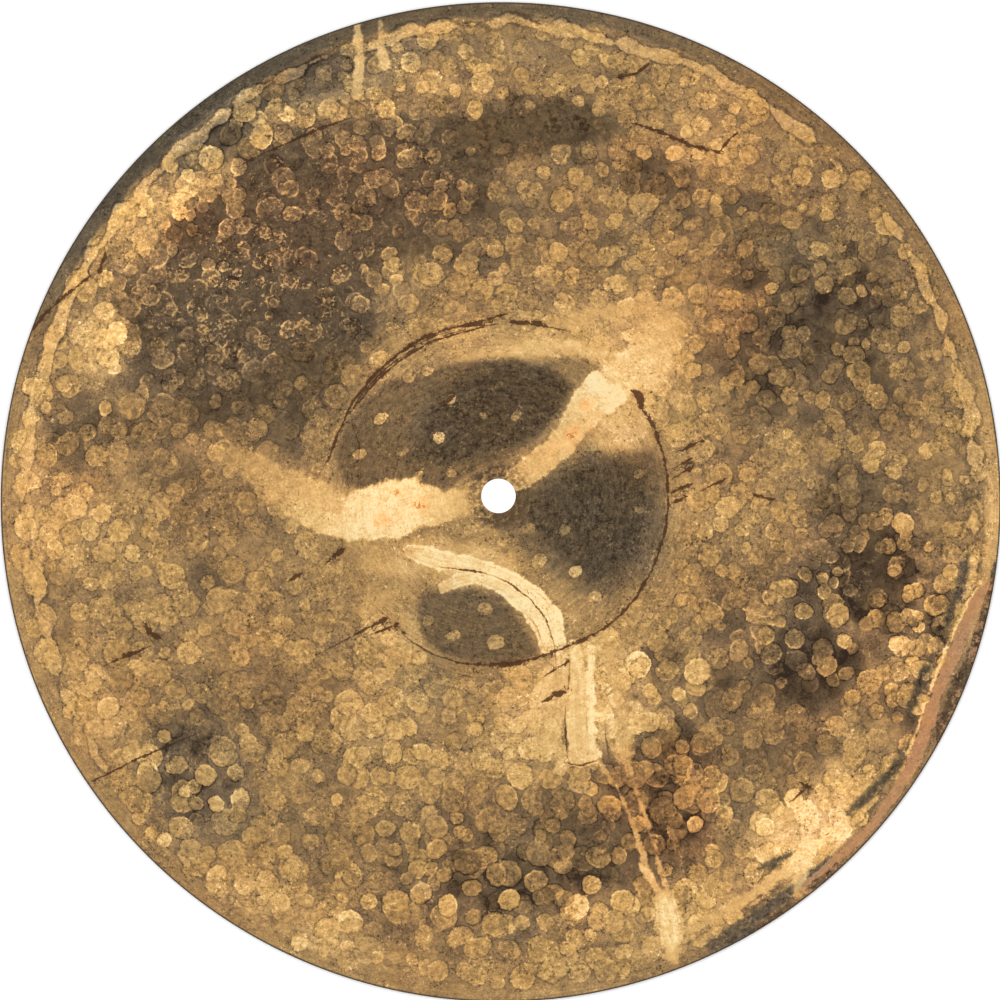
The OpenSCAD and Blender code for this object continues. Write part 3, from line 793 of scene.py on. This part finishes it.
class Nodes:
    """Makes and joins the nodes of one material."""

    def __init__(self, name):
        self.material = bpy.data.materials.new(name)
        self.material.use_nodes = True
        self.tree = self.material.node_tree
        self.tree.nodes.clear()

    def put(self, socket, value):
        """Joins value to the socket if it comes from a node, and otherwise sets it there."""
        source = value.socket if isinstance(value, Value) else value
        if isinstance(source, bpy.types.NodeSocket):
            self.tree.links.new(source, socket)
        else:
            socket.default_value = source

    def add(self, kind, settings=None, **inputs):
        """A node with its settings, and its inputs by name with _ for a space."""
        node = self.tree.nodes.new(kind)
        for name, value in (settings or {}).items():
            setattr(node, name, value)
        for name, value in inputs.items():
            self.put(node.inputs[name.replace("_", " ")], value)
        return node

    def math(self, operation, first, second=0.0):
        """The result of one operation on two values or numbers."""
        node = self.add("ShaderNodeMath", {"operation": operation})
        self.put(node.inputs[0], first)
        self.put(node.inputs[1], second)
        return Value(self, node.outputs[0])

    def blend(self, cover, under, over):
        """under where cover is 0, and over where it is 1."""
        node = self.add("ShaderNodeMix", {"data_type": "FLOAT"}, Factor=cover, A=under, B=over)
        return Value(self, node.outputs["Result"])

    def tinted(self, colour, tint, factor=1.0):
        """The colour times the tint, as strongly as the factor says."""
        mix = self.add("ShaderNodeMix", {"data_type": "RGBA", "blend_type": "MULTIPLY"}, Factor=factor)
        self.put(mix.inputs[6], colour)
        self.put(mix.inputs[7], tint)
        return mix.outputs[2]

    def ramp(self, factor, stops):
        """The colour that the stops give for each factor from 0 to 1."""
        node = self.add("ShaderNodeValToRGB", Fac=factor)
        points = node.color_ramp.elements
        while len(points) < len(stops):
            points.new(0.5)
        for point, (position, colour) in zip(points, stops):
            point.position = position
            point.color = colour
        return node.outputs["Color"]

    def values(self, name):
        """The four values stored on the mesh under a name."""
        source = self.add("ShaderNodeAttribute", {"attribute_name": name})
        colour = self.add("ShaderNodeSeparateColor", Color=source.outputs["Color"]).outputs
        return [Value(self, socket) for socket in (*colour[:3], source.outputs["Alpha"])]

    def place(self):
        """Each point's place on the disc, in metres."""
        return self.add("ShaderNodeTexCoord").outputs["Object"]

    def round_axis(self):
        """x, y and the distance from the axis."""
        x, y = [Value(self, socket) for socket in
                self.add("ShaderNodeSeparateXYZ", Vector=self.place()).outputs[:2]]
        return x, y, self.math("SQRT", x * x + y * y)

    def noise(self, size, detail=2.0, rough=0.5, where=None, seed=0.0):
        """Noise from about -0.5 to 0.5 with lumps of that size in metres, patterned by the seed."""
        shift = self.add("ShaderNodeVectorMath", {"operation": "ADD"})
        self.put(shift.inputs[0], where or self.place())
        shift.inputs[1].default_value = (7 * seed * size, -5 * seed * size, 3 * seed * size)
        node = self.add("ShaderNodeTexNoise", Vector=shift.outputs[0], Scale=1 / size, Detail=detail,
                        Roughness=rough)
        return Value(self, node.outputs["Fac"]) - 0.5

    def streaks(self, length, width, turn, seed):
        """Noise drawn out into streaks: length by width in metres, turned by that many degrees."""
        turned = self.add("ShaderNodeMapping", {"vector_type": "TEXTURE"}, Vector=self.place(),
                          Rotation=(0, 0, math.radians(turn)), Scale=(length, width, width))
        return self.noise(1.0, 3.0, 0.6, turned.outputs[0], seed)

    def brushed_round(self, turn_size, radial_size, seed):
        """Noise drawn out round the axis: turn_size radians long and radial_size metres wide."""
        x, y, radius = self.round_axis()
        safe = radius.at_least(MM)
        where = self.add("ShaderNodeCombineXYZ", X=x / safe * (1 / turn_size), Y=y / safe * (1 / turn_size),
                         Z=radius * (1 / radial_size))
        return self.noise(1.0, 3.0, 0.6, where.outputs[0], seed)


BRONZE_TONES = [
    (0.0, from_screen(58, 42, 28)), (0.15, from_screen(104, 83, 56)), (0.3, from_screen(138, 110, 74)),
    (0.5, from_screen(186, 147, 91)), (0.7, from_screen(234, 187, 116)), (0.85, (0.86, 0.56, 0.225, 1.0)),
    (1.0, (0.97, 0.78, 0.42, 1.0)),
]
# Tints for warmth from -2 to 2, for gilt from -1 to 1, and for bare copper.
WARM_TINTS = [(0.0, (0.8, 0.98, 1.34, 1)), (0.25, (0.9, 0.98, 1.13, 1)), (0.5, (1.0, 1.0, 1.0, 1)),
              (0.75, (1.14, 0.95, 0.85, 1)), (1.0, (1.26, 0.88, 0.7, 1))]
GILT_TINTS = [(0.0, (0.96, 0.99, 1.16, 1)), (0.5, (1.0, 1.0, 1.0, 1)), (1.0, (1.03, 1.0, 0.86, 1))]
COPPER_TINT = (1.05, 0.91, 1.05, 1)
COPPER_TONE = 0.53
FLAKE_TONE = 0.64
CUT_TONE = 0.02
# Tone of the painted shade along the rim's edge.
RIM_SHADE_TONE = 0.06
DARKEST_GROUND = 0.07
HUB_R = 7.2 * HUNDREDTH
HUB_CORE_R = 5.2 * HUNDREDTH
# Width of the painted shade along the rim's edge.
RIM_SHADE_WIDTH = 0.9 * MM
# The tone of the grain, its coarse part, the tone of the brushed lines, and the noise that frays edges.
Texture = namedtuple("Texture", "grain coarse brushed ragged")


def scratch_tone(nodes):
    """The tone of short scratches in two directions."""
    one_way = nodes.streaks(5 * MM, 0.35 * MM, 27, 13.0).band(0.17, 0.24, 0.0, -0.2)
    return one_way + nodes.streaks(4 * MM, 0.35 * MM, -34, 14.0).band(0.19, 0.25, 0.0, -0.16)


def crack_tone(nodes):
    """The tone of fine dark cracks, here and there."""
    crack = abs(nodes.noise(5 * MM, 4.0, 0.65, seed=15.0)).band(0.0, 0.022, -0.24, 0.0)
    return crack * nodes.noise(8 * MM, 2.0, seed=16.0).band(-0.04, 0.1)


def make_texture(nodes, brush):
    """Mottles, fine grain, crumbs, pits, scratches and cracks, and lines brushed round the axis."""
    coarse = nodes.noise(2.6 * MM, 4.0, 0.65)
    fine = nodes.noise(0.8 * MM, 2.0, 0.8, seed=3.0)
    crumbly = nodes.noise(11 * MM, 4.0, 0.6, seed=4.0).band(-0.1, 0.14, 0.25, 1.6)
    pits = nodes.noise(1.5 * MM, 3.0, 0.6, seed=12.0).band(-0.26, -0.14, -0.26, 0.0)
    flecks = nodes.noise(1.1 * MM, 3.0, 0.6, seed=24.0)
    flecks = flecks.band(0.08, 0.2, 0.0, 0.24) + flecks.band(-0.2, -0.08, -0.28, 0.0)
    crumbs = flecks + pits + scratch_tone(nodes)
    grain = coarse * 0.4 + fine * 0.5 + crumbs * crumbly + crack_tone(nodes)
    long_lines = nodes.brushed_round(0.22, 0.9 * MM, 17.0)
    short_lines = nodes.brushed_round(0.06, 0.4 * MM, 18.0)
    brushed = (long_lines * 0.34 + short_lines * 0.2) * brush
    return Texture(grain, coarse, brushed, nodes.noise(4.5 * MM, 5.0, 0.65, seed=9.0))


def soft_cover(depth, fraying, soft):
    """How far a shape with a soft, frayed edge covers each point, from how deep the point lies in it."""
    return ((depth + fraying) / soft).band(-1.0, 1.0)


def lay_stains(nodes, tone, texture):
    """Dark stains with a plain edge."""
    depth, stain_tone, soft, _ = nodes.values("stain")
    stained = soft_cover(depth, texture.ragged * 4.0, soft)
    return nodes.blend(stained, tone, stain_tone + texture.coarse * 0.2)


def marked_tone(nodes, tone, contrast, specks):
    """Lays the hammer marks over a tone, each with a painted highlight and painted shade; also how clear they
    are and the height of their dents.
    """
    dents = clearness = seam = 0.0
    wobble = nodes.noise(2.4 * MM, 4.0, 0.6, seed=5.0) * 2.4
    blotches = nodes.noise(2.1 * MM, 3.0, 0.6, seed=30.0).band(-0.12, 0.12, -0.09, 0.07)
    # The strength of the painted highlight in each mark's crescent.
    glow = contrast * 0.17 + specks * 0.2
    solid = specks * -0.4 + 1.0
    worn = nodes.noise(5 * MM, 4.0, 0.65, seed=35.0)
    for number in range(1, MARK_LAYERS + 1):
        edge, lean, value, clear = nodes.values(f"mark_{number}")
        edge = edge + wobble
        kept = worn * (5.0 if number % 2 else -5.0) + clear + 0.35
        inside = edge.band(-0.3, 0.1, 1.0, 0.0) * clear.band(0.25, 0.8) * kept.band(0.0, 0.7, 0.3, 1.0)
        # The side away from each mark's lean is darkened just outside its edge and just inside it: partly
        # oxide in the crevice and partly painted shade.
        shaded_side = lean.band(0.7, -0.5) * clear * contrast
        tone = tone + edge.band(0.6, 0.05) * shaded_side * -0.32
        # A painted highlight: a bright crescent just inside each mark's edge on its lean side.
        highlight_crescent = edge.band(-1.5, -0.5) * lean.band(-0.1, 0.8)
        shade = value + blotches + highlight_crescent * glow + edge.band(-1.0, -0.2) * shaded_side * -0.12
        middle = inside * solid + highlight_crescent * inside * specks
        tone = nodes.blend(middle.at_most(1.0), tone, shade)
        clearness = nodes.blend(inside, clearness, clear)
        seam = (seam * (inside * -0.8 + 1.0)).at_least(abs(edge).band(0.9, 0.2) * clear)
        dents = dents + edge.band(-1.2, 0.1, -0.06, 0.0)
    crumbs = nodes.noise(1.3 * MM, 3.0, 0.65, seed=33.0).band(0.05, 0.12)
    tone = tone + seam * crumbs * tone.band(0.15, 0.45, 0.0, -0.32)
    return tone, clearness, dents


def lay_ring(nodes, tone, ground, texture):
    """The thin pale ring near the rim, with dark lines along it."""
    ring = nodes.values("cut")[3] + texture.ragged * 5.0
    tone = tone + abs(ring + 0.5).band(0.3, 1.0, -0.12, 0.0)
    ring_tone = (ground + 0.2).at_most(0.68) + texture.coarse * 0.4
    return nodes.blend(ring.band(-0.3, 0.5) * 0.85, tone, ring_tone)


def lay_scale(nodes, tone, warm, texture):
    """Scale beside the copper: slivers inside it and a crust outside it, with copper mottling the crust."""
    depth, scale_tone, soft, outside = nodes.values("scale")
    broken = nodes.noise(3.6 * MM, 4.0, 0.7, seed=38.0).band(-0.16, -0.04)
    scaled = soft_cover(depth, texture.ragged * 6.0, soft) * broken.at_least(outside)
    tone = nodes.blend(scaled, tone, scale_tone + texture.coarse * 0.5)
    warm = warm + scaled * outside.band(0.0, 1.0, -1.5, 0.0)
    mottle = nodes.noise(3 * MM, 4.0, 0.7, seed=36.0).band(0.02, 0.08) * scaled * outside
    return tone, warm, mottle


def lay_flakes(nodes, tone, warm, clearness, specks, texture):
    """Bright flakes through the oxide, most of them in the clearest marks."""
    flakes = nodes.noise(1.3 * MM, 3.0, seed=7.0) + nodes.noise(9 * MM, 1.0, seed=8.0) * 0.4
    flakes = (flakes + clearness * 0.1).band(0.14, 0.2) * specks
    return nodes.blend(flakes * 0.8, tone, texture.coarse + FLAKE_TONE), warm + flakes * 0.3


def lay_rubs(nodes, tone, texture):
    """Rubbed streaks; also how far they cover each point."""
    depth, rub_tone, soft, lines = nodes.values("rub")
    rubbed = soft_cover(depth, texture.ragged * (soft * 4.0 + 3.0), soft) * soft.band(0.6, 1.8, 1.0, 0.75)
    flow = nodes.add("ShaderNodeCombineXYZ", X=depth * 1.1, Y=rub_tone, Z=soft).outputs[0]
    flow = nodes.noise(1.0, 3.0, 0.6, flow) * (lines * 1.1)
    shade = rub_tone + texture.grain * 0.7 + texture.brushed * 0.5 + texture.ragged * 0.4 + flow
    return nodes.blend(rubbed, tone, shade), rubbed


def lay_copper(nodes, tone, mottle, texture):
    """The bare copper-pink streak at the rim; also how far it covers each point."""
    copper = nodes.values("copper")[0] + texture.ragged * 5.0
    copper = copper.band(-0.25, 0.25).at_least(mottle * 0.8)
    return nodes.blend(copper, tone, texture.grain * 0.5 + COPPER_TONE), copper


def cut_cover(nodes):
    """How far the cuts cover each point; the widest ones are frayed."""
    side, away, half, _ = nodes.values("cut")
    jagged = nodes.noise(1.4 * MM, 3.0, 0.7, seed=11.0) * (half * 2.6 + 0.8)
    width = half * nodes.noise(3 * MM, 2.0, seed=19.0).band(-0.2, 0.2, 0.3, 1.9)
    cut = (abs(side + jagged) - width).band(-0.15, 0.2, 1.0, 0.0)
    cut = cut * away.band(1.3, 1.9, 1.0, 0.0) * half.band(0.05, 0.3)
    frayed = nodes.streaks(3.4 * MM, 0.32 * MM, 34, 23.0).band(0.02, 0.09)
    frayed = frayed * away.band(2.4, 0.6) * half.band(0.4, 0.6)
    return cut.at_least(frayed * 0.8)


def darken_hub_and_shade_rim(nodes, tone):
    """A mottled dark ring round the hole, and the painted shade along the rim's edge, where its wall turns
    away.
    """
    radius = nodes.round_axis()[2]
    hub = nodes.noise(2.2 * MM, 4.0, 0.65, seed=37.0).band(-0.1, 0.06) * radius.band(HUB_R, HUB_CORE_R)
    tone = tone + hub * tone.band(0.1, 0.5, 0.0, -0.36)
    # Painted shade: everything within that width of the rim, its wall too, is darkened.
    return nodes.blend(radius.band(disc_r - RIM_SHADE_WIDTH, disc_r - 0.2 * MM), tone, RIM_SHADE_TONE)


def gilt_at(nodes, clearness, contrast, specks):
    """How golden the metal is, from about -1 to 1: most so in clear marks."""
    gilt = (clearness * 1.1 + -0.5) * contrast.at_most(1.0)
    return gilt + nodes.noise(12 * MM, 3.0, seed=34.0) * 1.4 + specks * -0.6


def orange_flecks(nodes, warm):
    """How plainly orange flecks show: only where the metal is warmest, and only in small grains."""
    return warm.band(1.5, 2.2) * nodes.noise(1.2 * MM, 3.0, 0.6, seed=39.0).band(-0.02, 0.03)


def patina(nodes):
    """Tone, warmth and gilt at each point, the copper's cover, and the height in millimetres."""
    ground, warm, contrast, specks = nodes.values("ground")
    brush = nodes.values("stain")[3]
    texture = make_texture(nodes, brush)
    ground = ground + nodes.noise(9 * MM, 6.0, 0.72, seed=40.0) * (contrast * 0.24 + 0.28)
    tone = lay_stains(nodes, (ground + contrast * -0.14).at_least(DARKEST_GROUND), texture)
    tone, clearness, dents = marked_tone(nodes, tone, contrast, specks)
    tone = lay_ring(nodes, tone, ground, texture)
    tone, warm, mottle = lay_scale(nodes, tone, warm, texture)
    rough = tone.band(0.1, 0.42, 0.4, 1.0).at_least(brush * 0.75)
    tone = tone + (texture.grain + texture.brushed) * rough
    bare = clearness.band(0.0, 0.5, 1.0, 0.0) * ground.band(0.25, 0.45, 1.0, 0.0)
    warm = warm + bare * -0.3
    gilt = gilt_at(nodes, clearness, contrast, specks)
    rusty = orange_flecks(nodes, warm)
    warm = warm.at_most(0.9) + rusty * 1.2
    tone, warm = lay_flakes(nodes, tone, warm, clearness, specks, texture)
    tone, rubbed = lay_rubs(nodes, tone, texture)
    gilt = nodes.blend(rubbed, gilt, 0.0) + rusty
    tone = tone + rusty * -0.3
    tone, copper = lay_copper(nodes, tone, mottle, texture)
    cut = cut_cover(nodes)
    tone = darken_hub_and_shade_rim(nodes, nodes.blend(cut * 0.85, tone, CUT_TONE))
    height = dents + texture.grain * 0.12 + cut * -0.2
    return tone, warm + cut * 1.4, gilt, copper, height


def patina_material():
    """Raw hammered bronze: bright metal, brown and slate oxide, and the grain of both."""
    nodes = Nodes("raw_bronze_patina")
    tone, warm, gilt, copper, height = patina(nodes)
    colour = nodes.ramp(tone, BRONZE_TONES)
    colour = nodes.tinted(colour, nodes.ramp(warm * 0.25 + 0.5, WARM_TINTS))
    colour = nodes.tinted(colour, nodes.ramp(gilt.band(-1.0, 1.0), GILT_TINTS))
    colour = nodes.tinted(colour, COPPER_TINT, copper)
    bump = nodes.add("ShaderNodeBump", Strength=0.6, Distance=MM, Height=height)
    shader = nodes.add("ShaderNodeBsdfPrincipled", Base_Color=colour, Normal=bump.outputs["Normal"],
                       Metallic=tone.band(0.1, 0.8, 0.3, 0.75), Roughness=tone.band(0.0, 0.9, 0.68, 0.44),
                       Specular_IOR_Level=tone.band(0.0, 0.7, 0.1, 0.45))
    nodes.add("ShaderNodeOutputMaterial", Surface=shader.outputs["BSDF"])
    return nodes.material


def plain_material(name, colour, roughness, glow=0.0):
    """A plain finish for the stage."""
    nodes = Nodes(name)
    shader = nodes.add("ShaderNodeBsdfPrincipled", Base_Color=(*colour, 1), Roughness=roughness,
                       Emission_Color=(1, 1, 1, 1), Emission_Strength=glow)
    nodes.add("ShaderNodeOutputMaterial", Surface=shader.outputs["BSDF"])
    return nodes.material


# ---------------------------------------------------------------- stage, light and camera
VIEW_TILT = 2.39
VIEW_BEARING = -69.6
VIEW_DISTANCE = 2.0
SENSOR = 36.0
FLOOR_R = 60.0
PANEL_R = 0.3 * disc_r
SURROUND_STRENGTH = 0.95


def make_camera():
    """Looks down almost along the axis, with +Y up in the picture and the disc filling it."""
    tilt, bearing = math.radians(VIEW_TILT), math.radians(VIEW_BEARING)
    back = Vector((math.sin(tilt) * math.cos(bearing), math.sin(tilt) * math.sin(bearing), math.cos(tilt)))
    side = Vector((0, 1, 0)).cross(back).normalized()
    up = back.cross(side)
    data = bpy.data.cameras.new("camera")
    data.sensor_width = SENSOR
    data.lens = SENSOR / 2 * VIEW_DISTANCE / disc_r
    data.clip_end = 100
    camera = bpy.data.objects.new("camera", data)
    turned = Matrix((side, up, back)).transposed().to_4x4()
    camera.matrix_world = Matrix.Translation(back * VIEW_DISTANCE) @ turned
    bpy.context.scene.collection.objects.link(camera)
    bpy.context.scene.camera = camera


def flat_round(name, radius, height, sides):
    """A flat round sheet facing up."""
    turns = [2 * math.pi * step / sides for step in range(sides)]
    ring = [(radius * math.cos(turn), radius * math.sin(turn), height) for turn in turns]
    mesh = bpy.data.meshes.new(name)
    mesh.from_pydata(ring, [], [tuple(range(sides))])
    sheet = bpy.data.objects.new(name, mesh)
    bpy.context.scene.collection.objects.link(sheet)
    return sheet


def make_stage():
    """A pale floor, with a small light panel under the bell, so that the hole shows pale from above."""
    floor = flat_round("floor", FLOOR_R, -0.2 * MM, 128)
    floor.data.materials.append(plain_material("pale_floor", (0.95, 0.95, 0.95), 0.9))
    panel = flat_round("floor_panel", PANEL_R, 0.4 * MM, 64)
    panel.data.materials.append(plain_material("pale_panel", (0.9, 0.9, 0.9), 0.9, glow=1.0))


def make_area_light(name, place, size, power):
    """A square softbox aimed at the disc."""
    data = bpy.data.lights.new(name, "AREA")
    data.size = size
    data.energy = power
    light = bpy.data.objects.new(name, data)
    light.location = place
    light.rotation_euler = Vector(place).to_track_quat("Z", "Y").to_euler()
    bpy.context.scene.collection.objects.link(light)


def make_light():
    """An even pale surround and two large softboxes."""
    world = bpy.data.worlds.new("surround")
    world.use_nodes = True
    background = world.node_tree.nodes["Background"]
    background.inputs["Color"].default_value = (1, 1, 1, 1)
    background.inputs["Strength"].default_value = SURROUND_STRENGTH
    bpy.context.scene.world = world
    make_area_light("key_softbox", (-1.6, 1.8, 2.4), 1.8, 20)
    make_area_light("fill_softbox", (2.2, -0.8, 2.2), 2.2, 10)


make_camera()
make_stage()
make_light()
cymbal = build_disc()
cymbal.data.materials.append(patina_material())
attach(cymbal, "root")
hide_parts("cymbal")
bpy.context.scene.view_settings.view_transform = "Standard"
